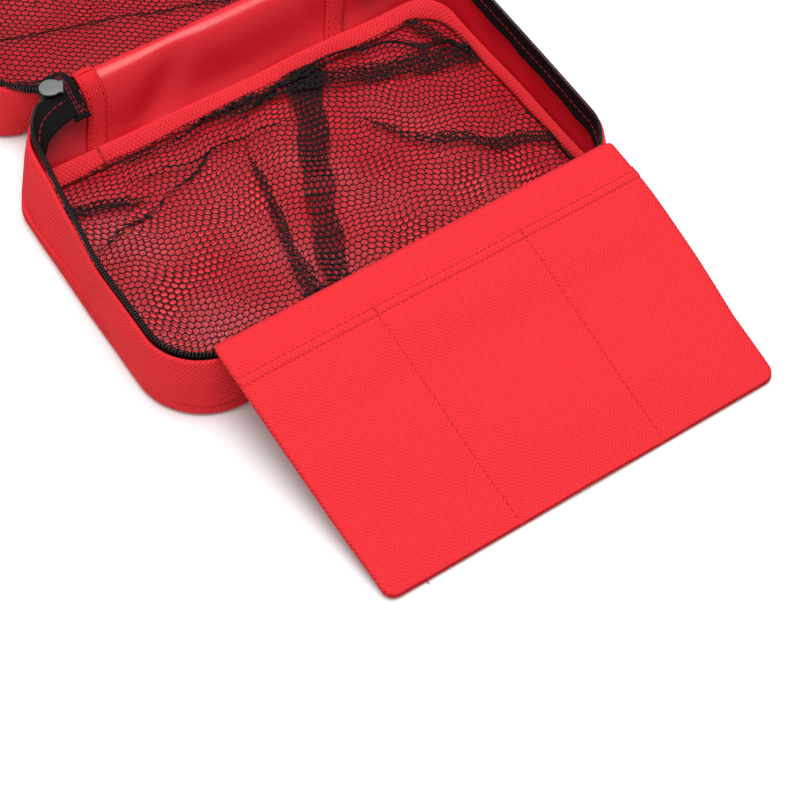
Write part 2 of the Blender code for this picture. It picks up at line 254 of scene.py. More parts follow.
def turnOutward(piece, closeHole=False):
    # makes every face of a closed mesh point outwards; closeHole first closes the small hole left
    # at the middle of a round grid
    bm = bmesh.new()
    bm.from_mesh(piece.data)
    if closeHole:
        bmesh.ops.remove_doubles(bm, verts=bm.verts, dist=0.00002)
        edges = [e for e in bm.edges if e.is_boundary]
        if edges:
            bmesh.ops.holes_fill(bm, edges=edges, sides=0)
    bmesh.ops.recalc_face_normals(bm, faces=bm.faces)
    bm.to_mesh(piece.data)
    bm.free()
    return piece


def lengthAlong(path):
    # the length of a path up to each of its points: the running sum of its steps
    steps = np.linalg.norm(np.diff(path, axis=0), axis=1)
    return np.concatenate([[0.0], np.cumsum(steps)])


def readAt(values, s, place):
    # the columns of values, known at the lengths s, read at other places
    return np.stack([np.interp(place, s, column) for column in values.T], 1)


def resample(path, count):
    # evenly spaced points along a path
    s = lengthAlong(path)
    return readAt(path, s, np.linspace(0, s[-1], count))


def smoothStep(x, low, high):
    # from 0 at low to 1 at high, t t (3 - 2 t)
    t = np.clip((x - low) / (high - low), 0, 1)
    return t * t * (3 - 2 * t)


def ripples(x, y, size, seed, count=6):
    # soft unevenness: the sum of count sine waves in random directions over sqrt(count), their
    # lengths 0.6 to 1.7 times shorter than size
    draw = np.random.default_rng(seed)
    total = np.zeros_like(x)
    for _ in range(count):
        angle = draw.uniform(0, 2 * np.pi)
        wave = draw.uniform(0.6, 1.7) * 2 * np.pi / size
        total = total + np.sin(wave * (x * np.cos(angle) + y * np.sin(angle)) + draw.uniform(0, 6.28))
    return total / np.sqrt(count)


def flipToLid(points):
    # the lid is the base mirrored in the plane through the fold
    points = np.array(points, float)
    points[..., 1] = 2 * shell["ridgeY"] - points[..., 1]
    return points


# materials
def newMaterial(name, baseColour, roughness, **sockets):
    # sockets are named as on the shader, with _ for each space
    material = bpy.data.materials.new(name)
    material.use_nodes = True
    shader = material.node_tree.nodes["Principled BSDF"]
    shader.inputs["Base Color"].default_value = (*baseColour, 1)
    shader.inputs["Roughness"].default_value = roughness
    for socket, value in sockets.items():
        shader.inputs[socket.replace("_", " ")].default_value = value
    return material, material.node_tree, shader


def addNode(tree, kind, inputs=None, **settings):
    # inputs are joined to a socket or set to a number
    node = tree.nodes.new(kind)
    for key, value in settings.items():
        setattr(node, key, value)
    for key, value in (inputs or {}).items():
        if isinstance(value, bpy.types.NodeSocket):
            tree.links.new(value, node.inputs[key])
        else:
            node.inputs[key].default_value = value
    return node


def mathNode(tree, operation, a, b=0.0):
    return addNode(tree, "ShaderNodeMath", {0: a, 1: b}, operation=operation).outputs[0]


def tint(tree, shader, shade, look):
    # the base colour: from the dark colour to the main one as shade goes from 0 to 1
    mix = addNode(tree, "ShaderNodeMix", {0: shade}, data_type="RGBA")
    mix.inputs[6].default_value = (*look["colourDark"], 1)
    mix.inputs[7].default_value = (*look["colour"], 1)
    tree.links.new(mix.outputs[2], shader.inputs["Base Color"])


def vary(tree, shader, value, look, below, above):
    # roughness a little below and above the finish's own, following value
    rough = addNode(
        tree, "ShaderNodeMapRange",
        {"Value": value, "From Min": 0.3, "From Max": 0.7,
         "To Min": look["roughness"] - below, "To Max": look["roughness"] + above},
    )
    tree.links.new(rough.outputs[0], shader.inputs["Roughness"])


def addBump(tree, shader, height, strength, distance):
    inputs = {"Height": height, "Strength": strength, "Distance": distance}
    bump = addNode(tree, "ShaderNodeBump", inputs)
    tree.links.new(bump.outputs[0], shader.inputs["Normal"])


def clothCoordinates(tree):
    place = addNode(tree, "ShaderNodeUVMap", uv_map="cloth")
    split = addNode(tree, "ShaderNodeSeparateXYZ", {0: place.outputs[0]})
    return place.outputs[0], split.outputs[0], split.outputs[1]


def weaveHeight(tree, u, v, yarn):
    # plain weave: sin(pi u / yarn) * sin(pi v / yarn), 0 to 1
    across = mathNode(tree, "SINE", mathNode(tree, "MULTIPLY", u, np.pi / yarn))
    along = mathNode(tree, "SINE", mathNode(tree, "MULTIPLY", v, np.pi / yarn))
    product = mathNode(tree, "MULTIPLY", across, along)
    return mathNode(tree, "MULTIPLY_ADD", product, 0.5)


def oxfordMaterial(name, look):
    # woven cloth: weave and thicker yarns raise it, weave and large soft patches shade it
    material, tree, shader = newMaterial(
        name, look["colour"], look["roughness"], Specular_IOR_Level=look["specular"])
    place, u, v = clothCoordinates(tree)
    weave = weaveHeight(tree, u, v, look["yarn"])
    offset = mathNode(tree, "ADD", weave, 0.5)
    slubs = addNode(tree, "ShaderNodeTexNoise", {"Vector": place, "Scale": 1.3, "Detail": 3.0})
    height = mathNode(tree, "ADD", offset, mathNode(tree, "MULTIPLY", slubs.outputs[0], 0.8))
    addBump(tree, shader, height, look["bump"], look["bumpDepth"])
    patches = addNode(tree, "ShaderNodeTexNoise", {"Vector": place, "Scale": 0.02, "Detail": 2.0})
    shade = mathNode(tree, "MULTIPLY_ADD", offset, look["weaveContrast"])
    shade = mathNode(tree, "ADD", shade, mathNode(tree, "MULTIPLY", patches.outputs[0], 0.35))
    tint(tree, shader, shade, look)
    return material


def coatedMaterial(name, look):
    # the inside of the shell cloth: a thin glossy film over the weave
    material, tree, shader = newMaterial(
        name, look["colour"], look["roughness"], Coat_Weight=look["coat"], Coat_Roughness=0.25,
        Specular_IOR_Level=0.35,
    )
    place, u, v = clothCoordinates(tree)
    weave = mathNode(tree, "MULTIPLY", weaveHeight(tree, u, v, 1.0), 0.1)
    dents = addNode(tree, "ShaderNodeTexNoise", {"Vector": place, "Scale": 0.03, "Detail": 3.0})
    height = mathNode(tree, "ADD", weave, dents.outputs[0])
    addBump(tree, shader, height, look["bump"], 0.0016)
    vary(tree, shader, dents.outputs[0], look, 0.06, 0.08)
    tint(tree, shader, dents.outputs[0], look)
    return material


def ribMaterial(name, look):
    # woven tape: fine slanting ribs, cos(2 pi (u + slant v) / rib)
    material, tree, shader = newMaterial(
        name, look["colour"], look["roughness"], Specular_IOR_Level=look["specular"])
    place, u, v = clothCoordinates(tree)
    slanted = mathNode(tree, "ADD", u, mathNode(tree, "MULTIPLY", v, look["slant"]))
    ribs = mathNode(tree, "COSINE", mathNode(tree, "MULTIPLY", slanted, 2 * np.pi / look["rib"]))
    crossing = mathNode(tree, "SUBTRACT", u, mathNode(tree, "MULTIPLY", v, look["slant"]))
    picks = mathNode(tree, "COSINE", mathNode(tree, "MULTIPLY", crossing, 2 * np.pi / look["rib"]))
    fuzz = addNode(tree, "ShaderNodeTexNoise", {"Vector": place, "Scale": 2.0, "Detail": 3.0})
    height = mathNode(tree, "ADD", mathNode(tree, "ADD", ribs, picks), fuzz.outputs[0])
    addBump(tree, shader, height, look["bump"], 0.0005)
    shade = mathNode(tree, "MULTIPLY_ADD", height, 0.22)
    tint(tree, shader, mathNode(tree, "ADD", shade, 0.2), look)
    return material


def plainMaterial(name, look):
    # smooth plastic, lacquer or thread with fine unevenness on the object's own coordinates
    sockets = {key: look[key] for key in ("Metallic", "Specular_IOR_Level") if key in look}
    material, tree, shader = newMaterial(name, look["colour"], look["roughness"], **sockets)
    place = addNode(tree, "ShaderNodeTexCoord").outputs["Object"]
    grain = addNode(tree, "ShaderNodeTexNoise", {"Vector": place, "Scale": look["grain"], "Detail": 4.0})
    addBump(tree, shader, grain.outputs[0], look["bump"], 0.0003)
    vary(tree, shader, grain.outputs[0], look, 0.07, 0.07)
    tint(tree, shader, grain.outputs[0], look)
    return material


finishes = {
    "oxford": oxfordMaterial("redOxford", {
        "colour": (0.69, 0.026, 0.034), "colourDark": (0.47, 0.010, 0.018), "roughness": 0.8,
        "specular": 0.08, "yarn": 1.0, "bump": 0.75, "bumpDepth": 0.0005,
        "weaveContrast": 0.8}),
    "coated": coatedMaterial("redCoating", {
        "colour": (0.66, 0.010, 0.022), "colourDark": (0.50, 0.005, 0.014), "roughness": 0.32,
        "coat": 0.12, "bump": 0.12}),
    "binding": ribMaterial("redBinding", {
        "colour": (0.72, 0.020, 0.028), "colourDark": (0.55, 0.010, 0.016), "roughness": 0.7,
        "specular": 0.12, "rib": 1.25, "slant": 0.8, "bump": 0.45}),
    "tape": ribMaterial("blackZipTape", {
        "colour": (0.010, 0.009, 0.010), "colourDark": (0.003, 0.003, 0.003), "roughness": 0.85,
        "specular": 0.12, "rib": 0.9, "slant": 0.4, "bump": 0.7}),
    "coil": plainMaterial("blackCoil", {
        "colour": (0.008, 0.008, 0.009), "colourDark": (0.004, 0.004, 0.004), "roughness": 0.32,
        "grain": 900.0, "bump": 0.2, "Specular_IOR_Level": 0.35}),
    "net": plainMaterial("blackNet", {
        "colour": (0.010, 0.006, 0.007), "colourDark": (0.004, 0.003, 0.003), "roughness": 0.65,
        "grain": 1500.0, "bump": 0.5, "Specular_IOR_Level": 0.12}),
    # painted shade: the thread is a darker red than the cloth, standing for the shade in the stitch holes
    "thread": plainMaterial("redThreadWithPaintedShade", {
        "colour": (0.50, 0.008, 0.016), "colourDark": (0.30, 0.004, 0.008), "roughness": 0.6,
        "grain": 2500.0, "bump": 0.6, "Specular_IOR_Level": 0.25}),
    "metal": plainMaterial("greyLacquer", {
        "colour": (0.15, 0.152, 0.155), "colourDark": (0.12, 0.122, 0.125), "roughness": 0.5,
        "grain": 700.0, "bump": 0.15, "Metallic": 0.15, "Specular_IOR_Level": 0.4}),
}
print("materials made:", len(finishes))


# the wall's plan
def roundedPath(corners, lineCounts, arcCount=22):
    # from the first point to the last with every corner between rounded by a circular arc that
    # touches both sides at rounding * tan(turn / 2) from the corner; fixed counts of points, so
    # that two outlines can be joined point by point
    places = np.array([corner[:2] for corner in corners], float)
    ahead = unit(np.diff(places, axis=0))
    pieces, here = [], places[0]
    for k in range(1, len(corners) - 1):
        before, after = ahead[k - 1], ahead[k]
        turn = np.arctan2(before[0] * after[1] - before[1] * after[0], before @ after)
        reach = corners[k][2] * np.tan(abs(turn) / 2)
        begin, finish = places[k] - before * reach, places[k] + after * reach
        t = np.linspace(0, 1, lineCounts[k - 1], endpoint=False)[:, None]
        pieces.append(here * (1 - t) + begin * t)
        side = np.array([-before[1], before[0]]) * np.sign(turn)
        angle = np.linspace(0, abs(turn), arcCount, endpoint=False)[:, None]
        pieces.append(begin + corners[k][2] * (before * np.sin(angle) + side * (1 - np.cos(angle))))
        here = finish
    t = np.linspace(0, 1, lineCounts[-1])[:, None]
    pieces.append(here * (1 - t) + places[-1] * t)
    return np.concatenate(pieces)


def planNormals(plan):
    # the horizontal direction square to an outline at each of its points
    along = unit(np.gradient(plan, axis=0))
    return np.stack([along[:, 1], -along[:, 0]], 1)


for half in halves.values():
    for outlineName in ("rim", "floor"):
        half[outlineName + "Plan"] = roundedPath(half[outlineName], (8, 20, 20, 60, 20, 20, 8))


def wallPoint(half, height, bulge, inset=0.0):
    # the wall's outer face at one height (mm): the floor's and the rim's outlines mixed
    t = height / shell["height"]
    mixed = half["floorPlan"] * (1 - t) + half["rimPlan"] * t
    moved = mixed + planNormals(mixed) * (bulge * np.sin(np.pi * min(t, 1)) - inset)
    return np.concatenate([moved, np.full((len(moved), 1), height)], 1)


# shell cloth
def buildWall(prefix, isLid, seed):
    # the cloth between floor and zip: the wall's outline at each height, turned in at the bottom
    # by a quarter circle, (radius (1 - sin a), radius (1 - cos a)), and creased by soft ripples
    look = {"bulge": 1.1, "lean": 0.5, "unevenness": 0.5, "heightSteps": 14, "cornerSteps": 7,
            "waves": (80.0, 45.0), "drawnIn": 14.0}
    half = halves[prefix]
    length = lengthAlong(half["rimPlan"])
    radius = shell["bottomRadius"]
    turn = np.linspace(0, np.pi / 2, look["cornerSteps"])
    heights = np.concatenate([
        radius * (1 - np.cos(turn)) + shell["under"],
        np.linspace(radius + shell["under"], shell["gussetTop"], look["heightSteps"])[1:],
    ])
    insets = np.concatenate([radius * (1 - np.sin(turn)), np.zeros(look["heightSteps"] - 1)])
    large, small = look["waves"]
    wave = ripples(length, length * 0, large, seed)
    rows = []
    for height, inset in zip(heights, insets):
        crease = wave + 0.6 * ripples(length, length * 0 + height * 2, small, seed + 1)
        bulge = look["bulge"] + look["unevenness"] * crease + look["lean"] * np.sign(half["rimPlan"][:, 0])
        row = wallPoint(half, height, bulge[:, None], inset + shell["cloth"] / 2)
        # both ends are drawn to the spine's seams
        for side, end, gap in ((-1, 0, length), (1, -1, length[-1] - length)):
            move = seamPlace(prefix, side, height) - row[end, :2]
            row[:, :2] += move * (1 - smoothStep(gap, 0, look["drawnIn"]))[:, None]
        rows.append(row)
    grid = np.stack(rows, 1)
    uv = spread(length[:, None], heights[None, :])
    if isLid:
        grid = flipToLid(grid)
    materials = [finishes["oxford"], finishes["coated"]]
    wall = thickSheet(f"{prefix}WallCloth", grid, uv, shell["cloth"], materials, flip=isLid)
    attach(wall, prefix, "red_oxford", f"{prefix}_gusset")


def closedOutline(half, inset):
    # the floor's outline closed along the spine, moved inwards
    plan = half["floorPlan"]
    closed = np.concatenate([plan, np.linspace(plan[-1], plan[0], 60)[1:-1]])
    along = unit(np.roll(closed, -1, 0) - np.roll(closed, 1, 0))
    out = np.stack([along[:, 1], -along[:, 0]], 1)
    return closed - out * inset, out


def buildFloor(prefix, panel, isLid, seed):
    # rings of the floor's outline drawn in to its middle, lying on the table at the seam and
    # lifted a little inside it by soft wrinkles
    look = {"rings": 30, "wrinkle": 0.7, "dish": 0.5, "waves": 70.0, "cloth": 1.0}
    outline, _ = closedOutline(halves[prefix], shell["bottomRadius"] - 0.2)
    centre = outline.mean(0)
    share = np.linspace(0.004, 1, look["rings"])
    flat = centre + (outline - centre)[:, None, :] * share[None, :, None]
    x, y = flat[..., 0], flat[..., 1]
    rim = np.clip((1 - share) * 6, 0, 1)[None, :]
    z = 0.7 + rim * (look["dish"] + look["wrinkle"] * (0.6 + 0.5 * ripples(x, y, look["waves"], seed)))
    grid = np.stack([x, y, np.maximum(z, 0.62)], -1)
    if isLid:
        grid = flipToLid(grid)
    materials = [finishes["coated"], finishes["oxford"]]
    floor = thickSheet(
        f"{prefix}FloorCloth", grid, flat, look["cloth"], materials, closedRows=True, flip=not isLid)
    turnOutward(floor, closeHole=True)
    attach(floor, prefix, "red_oxford", f"{prefix}_{panel}")


def spineSide(prefix, count):
    # side view (y, z) of one half of the back cloth, from the floor seam to beside the fold:
    # a cubic curve through the half's four control points
    p = np.array(halves[prefix]["spine"], float)
    t = np.linspace(0, 1, 60)[:, None]
    curve = p[0] * (1 - t) ** 3 + 3 * p[1] * t * (1 - t) ** 2 + 3 * p[2] * t**2 * (1 - t) + p[3] * t**3
    foot = np.array([[halves[prefix]["floorBack"] - shell["bottomRadius"] - 0.3, 1.2]])
    top, ridgeY = shell["height"], shell["ridgeY"]
    crest = np.array([[ridgeY - 1.2, top - 0.35], [ridgeY, top - 0.15]])
    return resample(np.concatenate([foot, curve, crest]), count)


def seamX(prefix, side, t):
    # where a spine seam lies across the case, t from 0 at the floor to 1 at the fold
    half = halves[prefix]
    low, high = half["seamLeft"] if side < 0 else half["seamRight"]
    return low + (high - low) * smoothStep(t, *half["seamRise"])


def seamPlace(prefix, side, height):
    # where a wall's end meets the spine at one height: 0.8 mm behind it, 1 mm past the seam
    profile = spineSide(prefix, 60)
    t = np.interp(height, profile[:, 1], np.linspace(0, 1, 60))
    y = np.interp(height, profile[:, 1], profile[:, 0])
    return np.array([seamX(prefix, side, t) - side * 1.0, y + 0.8])


def buildSpine():
    # one cloth over the fold: each half's side view carried from seam to seam, pushed back and
    # forth by soft ripples
    look = {"columns": 110, "rows": 36, "unevenness": 0.9, "waves": 75.0, "hollow": 2.0, "cloth": 1.0}
    t = np.linspace(0, 1, look["rows"])
    sides = []
    for prefix in ("base", "lid"):
        profile = spineSide(prefix, look["rows"])
        left, right = seamX(prefix, -1, t), seamX(prefix, 1, t)
        share = np.linspace(0, 1, look["columns"])[:, None]
        x = between((left, right), share)
        y = np.broadcast_to(profile[:, 0], x.shape)
        z = np.broadcast_to(profile[:, 1], x.shape)
        away = np.sin(np.pi * t) * look["unevenness"]
        push = away * ripples(x, t * 30 + x * 0, look["waves"], 21)
        # a slanting hollow where the cloth is drawn in, from low by the left seam up to the fold
        push = push - look["hollow"] * away * np.exp(-(((x + 50 - 34 * t) / 11) ** 2))
        half = np.stack([x, y - push * 0.7, z + push * 0.6], -1)
        sides.append(half if prefix == "base" else flipToLid(half[:, ::-1]))
    grid = np.concatenate([sides[0], sides[1][:, 1:]], 1)
    s = lengthAlong(grid[look["columns"] // 2])
    uv = spread(grid[..., 0], s[None, :])
    spine = thickSheet("spineCloth", grid, uv, look["cloth"], [finishes["coated"], finishes["oxford"]])
    bendOverFold(spine)
    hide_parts("base_spine_panel", "lid_spine_panel")


def buildSpineBinding(prefix, side, isLid):
    # a ribbed tape over the seam between the spine and the side wall: the spine's side view moved
    # off the cloth by a crown, lift (1 - (2 w)^4) + gap, w from -1/2 to 1/2 across the tape
    look = {"width": 9.5, "lift": 0.8, "gap": 0.75, "rows": 40, "columns": 14, "thick": 0.8}
    profile = spineSide(prefix, look["rows"])
    direction = np.gradient(profile, axis=0)
    out = unit(np.stack([-direction[:, 1], direction[:, 0]], 1))
    w = np.linspace(-0.5, 0.5, look["columns"])
    crown = look["lift"] * (1 - (2 * np.abs(w)) ** 4) + look["gap"]
    t = np.linspace(0, 1, look["rows"])
    x = seamX(prefix, side, t)[:, None] + w[None, :] * look["width"]
    y = profile[:, None, 0] + out[:, None, 0] * crown[None, :]
    z = profile[:, None, 1] + out[:, None, 1] * crown[None, :]
    grid = spread(x, y, z)
    uv = spread(w[None, :] * look["width"], lengthAlong(profile)[:, None])
    rows = [grid[1:, 2] + [0, -0.35, 0.3], grid[1:, -3] + [0, -0.35, 0.3]]
    if isLid:
        grid = flipToLid(grid)
        rows = [flipToLid(row) for row in rows]
    name = "Left" if side < 0 else "Right"
    binding = thickSheet(
        f"{prefix}SpineBinding{name}", grid, uv, look["thick"], [finishes["binding"]], flip=not isLid)
    attach(binding, prefix, "red_binding", f"{prefix}_spine_binding_{name.lower()}")
    for number, row in enumerate(rows):
        stitches = buildStitches(f"{prefix}SpineStitches{name}{number + 1}", row, 2.9, 2.0)
        attach(stitches, prefix, "red_binding")


def buildFloorBinding(prefix, isLid, seed):
    # folded tape over the floor seam: a flattened loop carried round the floor's outline, wider
    # along the spine, where it lies up against the slanting cloth
    look = {"width": (5.6, 9.2), "thick": 2.3, "inset": (3.0, 4.9), "lean": (52.0, 40.0),
            "lift": (4.6, 5.6), "sides": 18, "count": 420, "waves": 45.0}
    plain, out = closedOutline(halves[prefix], 0.0)
    atBack = smoothStep(plain[:, 1], 45, plain[:, 1].max() - 2)
    inset = between(look["inset"], atBack)
    line = np.concatenate([plain - out * inset[:, None], atBack[:, None]], 1)
    line = np.concatenate([line, line[:1]])
    line = resample(line, look["count"] + 1)[:-1]
    outline, atBack = line[:, :2], line[:, 2]
    s = lengthAlong(outline)
    along = unit(np.roll(outline, -1, 0) - np.roll(outline, 1, 0))
    side = np.stack([along[:, 1], -along[:, 0]], 1)
    wave = ripples(s, s * 0, look["waves"], seed)[:, None]
    atBack = atBack[:, None]
    lean = np.radians(between(look["lean"], atBack) + 5 * wave)
    loop = oval(look["sides"], 1.0, 1.0)
    loop = np.sign(loop) * np.abs(loop) ** 0.8
    a = loop[:, 0] * between(look["width"], atBack) / 2
    b = loop[:, 1] * look["thick"] / 2 * (1 + 0.1 * wave)
    across = a * np.cos(lean) - b * np.sin(lean)
    points = np.empty((look["count"], look["sides"], 3))
    points[..., :2] = outline[:, None, :] + side[:, None, :] * across[..., None]
    points[..., 2] = between(look["lift"], atBack) + 0.35 * wave + a * np.sin(lean) + b * np.cos(lean)
    around = np.linspace(0, 2.2, look["sides"])[None, :] * between(look["width"], atBack)
    uv = spread(s[:, None], around)
    if isLid:
        points = flipToLid(points)
    faces = gridQuads(look["count"], look["sides"], True, True)
    ring = makePiece(f"{prefix}FloorBinding", points, faces, finishes["oxford"], uv)
    attach(turnOutward(ring), prefix, "red_binding", f"{prefix}_floor_binding")


# zip
zipLook = {
    "pitch": 1.4, "coilHigh": 1.25, "coilWide": 0.85, "wire": 0.36,
    "tapeWidth": (10.4, 15.6),     # along the wall, and beside the slider
    "tape": 0.7, "lineY": 0.75, "start": 69.0, "tilt": 6.0,
}


def coilLine(prefix, count=900):
    # the line that the teeth follow: out from the spine's end beside the fold, then round the rim
    plan = halves[prefix]["rimPlan"]
    line = np.concatenate([plan, np.full((len(plan), 1), shell["height"] - 1.0)], 1)
    line[:, :2] -= planNormals(plan) * 1.6
    line = line[(line[:, 1] < 85) | (np.abs(line[:, 0]) > zipLook["start"])]
    near = (1 - smoothStep(np.abs(line[:, 0]), 70, 98)) * smoothStep(line[:, 1], 60, 80)
    line[:, 1] += near * (shell["ridgeY"] - zipLook["lineY"] - line[:, 1])
    line[:, 2] += near * 0.8
    return resample(line, count)


def tapeDirections(line):
    # the way from the teeth to the tape's free edge where it stands against the wall
    along = unit(np.gradient(line[:, :2], axis=0))
    inward = np.stack([-along[:, 1], along[:, 0]], 1)
    tilt = np.radians(zipLook["tilt"])
    return np.concatenate([inward * np.sin(tilt), np.full((len(line), 1), -np.cos(tilt))], 1)


def besideSlider(line):
    # 1 beside the sliders, where the tape lies nearly level, 0 where it stands against the wall
    return smoothStep(line[:, 1], 60, 88) * (1 - smoothStep(np.abs(line[:, 0]), 86, 108))


def tapePoint(line, reach, width):
    # against the wall: straight down, a little tilted; beside the slider: level at first, then
    # bending down by 0.67 (sqrt(r r + 64) - 8) while it goes 0.8 r towards the middle of the tray
    flat = besideSlider(line)[:, None, None]
    r = reach * width[:, None]
    wall = tapeDirections(line)[:, None, :] * r[..., None]
    level = np.stack([0 * r, -0.8 * r, -0.67 * (np.sqrt(r**2 + 64) - 8)], -1)
    return line[:, None, :] + wall * (1 - flat) + level * flat


def buildTape(prefix, isLid, seed):
    line = coilLine(prefix, 700)
    s = lengthAlong(line)
    near = smoothStep(line[:, 1], 55, 84)
    width = between(zipLook["tapeWidth"], near) + 0.5 * ripples(s, s * 0, 30.0, seed)
    share = np.linspace(0.02, 1, 14)[None, :]
    grid = tapePoint(line, share, width)
    # the free edge waves in and out a little, more where it isn't held by the wall
    normal = surfaceNormals(grid)
    wave = 0.35 * ripples(s, s * 0, 16.0, seed + 1)[:, None] * share**2 * (0.3 + near[:, None])
    grid = grid + normal * wave[..., None]
    uv = spread(s[:, None], share * width[:, None])
    row = 6    # the seam runs along the middle of the tape
    sewn = [grid[:, row] + normal[:, row] * sign * 0.45 for sign in (1, -1)]
    if isLid:
        grid = flipToLid(grid)
        sewn = [flipToLid(path) for path in sewn]
    tape = thickSheet(f"{prefix}ZipTape", grid, uv, zipLook["tape"], [finishes["tape"]], flip=not isLid)
    attach(tape, prefix, "black_tape", f"{prefix}_zip_tape")
    for number, path in enumerate(sewn):
        stitches = buildStitches(f"{prefix}ZipStitches{number + 1}", path, 3.3, 2.7)
        attach(stitches, prefix, "red_binding")


def buildCoil(prefix, isLid):
    # the teeth: one long wire wound round the tape's edge, a flattened helix,
    # coilHigh cos a down and coilWide sin a sideways
    line = coilLine(prefix, 2400)
    direction = tapeDirections(line)
    s = lengthAlong(line)
    turns = int(s[-1] / zipLook["pitch"])
    perTurn = 9
    place = np.linspace(0, s[-1], turns * perTurn)
    centre = readAt(line, s, place)
    down = unit(readAt(direction, s, place))
    along = unit(np.gradient(centre, axis=0))
    sideways = unit(np.cross(along, down))
    phase = place / zipLook["pitch"] * 2 * np.pi + (np.pi if isLid else 0)
    wire = centre - down * (np.cos(phase) * zipLook["coilHigh"])[:, None]
    wire = wire + sideways * (np.sin(phase) * zipLook["coilWide"])[:, None]
    forward = unit(np.gradient(wire, axis=0))
    first = unit(np.cross(forward, along + 0.001))
    second = np.cross(forward, first)
    points, faces = tube(wire, first, second, oval(5, zipLook["wire"], zipLook["wire"]))
    if isLid:
        points = flipToLid(points)
    coil = makePiece(f"{prefix}ZipCoil", points, faces, finishes["coil"])
    attach(turnOutward(coil), prefix, "black_coil", f"{prefix}_zip_coil")


def buildStitches(name, path, pitch, length, radius=0.2):
    # a row of short rounded stitches: one small spindle copied along the path
    s = lengthAlong(path)
    count = max(int(s[-1] / pitch), 1)
    place = (np.arange(count) + 0.5) * s[-1] / count
    centre = readAt(path, s, place)
    ahead = readAt(path, s, np.minimum(place + 0.4, s[-1]))
    along = unit(ahead - readAt(path, s, np.maximum(place - 0.4, 0)))
    up = np.broadcast_to(np.array([0.0, 0.0, 1.0]), along.shape)
    sideways = unit(np.cross(along, up))
    lift = np.cross(sideways, along)
    t = np.array([-1.0, -0.7, 0.0, 0.7, 1.0])
    girth = np.array([0.25, 0.85, 1.0, 0.85, 0.25])
    ring = oval(6, 1.0, 1.0)
    local = np.stack([
        np.repeat(t * length / 2, 6),
        np.outer(girth, ring[:, 0]).ravel() * radius,
        np.outer(girth, ring[:, 1]).ravel() * radius,
    ], 1)
    points = (centre[:, None, :] + local[None, :, 0, None] * along[:, None, :]
              + local[None, :, 1, None] * sideways[:, None, :] + local[None, :, 2, None] * lift[:, None, :])
    quads = gridQuads(5, 6, False, True)
    caps = np.array([[0, 1, 2, 3], [0, 3, 4, 5], [24, 27, 26, 25], [24, 29, 28, 27]])
    one = np.concatenate([quads, caps])
    faces = (one[None, :, :] + (np.arange(count) * 30)[:, None, None]).reshape(-1, 4)
    return turnOutward(makePiece(name, points.reshape(-1, 3), faces, finishes["thread"]))


print("shell helpers ready")
for bodyName, panelName, lidFlag in (("base", "floor_panel", False), ("lid", "top_panel", True)):
    offset = 40 if lidFlag else 0
    buildWall(bodyName, lidFlag, 3 + offset)
    buildFloor(bodyName, panelName, lidFlag, 7 + offset)
    buildFloorBinding(bodyName, lidFlag, 11 + offset)
    for sideSign in (-1, 1):
        buildSpineBinding(bodyName, sideSign, lidFlag)
    buildTape(bodyName, lidFlag, 17 + offset)
    buildCoil(bodyName, lidFlag)
    print("half built:", bodyName)
buildSpine()


# net pockets
netLook = {
    "pitch": 3.05, "cord": 0.37, "thick": 0.32, "rest": 2.9, "layer": 0.8,
    "stretch": 1.03, "shear": 0.22, "slack": 0.35, "corner": 16.0,
    "pull": 400.0,                 # how far a pleat's pull reaches into the net
    "spare": 85,                   # net laid out beyond each edge, to be pulled in by the pleats
}
# each pocket: how far inside the floor's outline its net reaches (left, front, right, back), and
# its pleats: start and end of the middle line, a layer's width at both, sideways bow of the line,
# and the share of its length over which it fades in and out
pockets = {
    "base": {
        "inside": (10.0, 7.5, 6.5, 8.5),
        "pleats": [
            ((29, 84), (-26, -76), (17.0, 11.5), 1.0, (0.02, 0.02)),
            ((-18, 44), (-41, -76), (2.0, 10.5), -2.0, (0.3, 0.02)),
            ((22, 26), (122, -46), (4.5, 9.5), -12.5, (0.3, 0.02)),
            ((-46, 72), (118, 30), (6.5, 14.5), -1.0, (0.3, 0.02)),
            ((76, 86), (98, 26), (8.0, 4.0), 2.0, (0.02, 0.4)),
            ((-124, 61), (-58, 38), (9.5, 5.0), 1.0, (0.02, 0.3)),
            ((-74, 54), (16, 40), (1.8, 2.0), 1.0, (0.2, 0.2)),
            ((-96, 68), (66, 62), (2.0, 5.0), 0.0, (0.2, 0.3)),
            ((99, 34), (98, -76), (2.0, 3.5), 0.0, (0.3, 0.02)),
            ((-92, -43), (-20, -42), (3.0, 5.0), 0.0, (0.3, 0.2)),
        ],
    },
    "lid": {
        "inside": (9.0, 7.5, 7.5, 4.0),
        "pleats": [
            ((-120, 18), (76, 88), (1.4, 1.8), -3.0, (0.02, 0.1)),
            ((-60, 30), (20, -76), (3.0, 7.0), 3.0, (0.3, 0.02)),
            ((30, 34), (120, -40), (3.0, 8.0), -6.0, (0.3, 0.02)),
        ],
    },
}


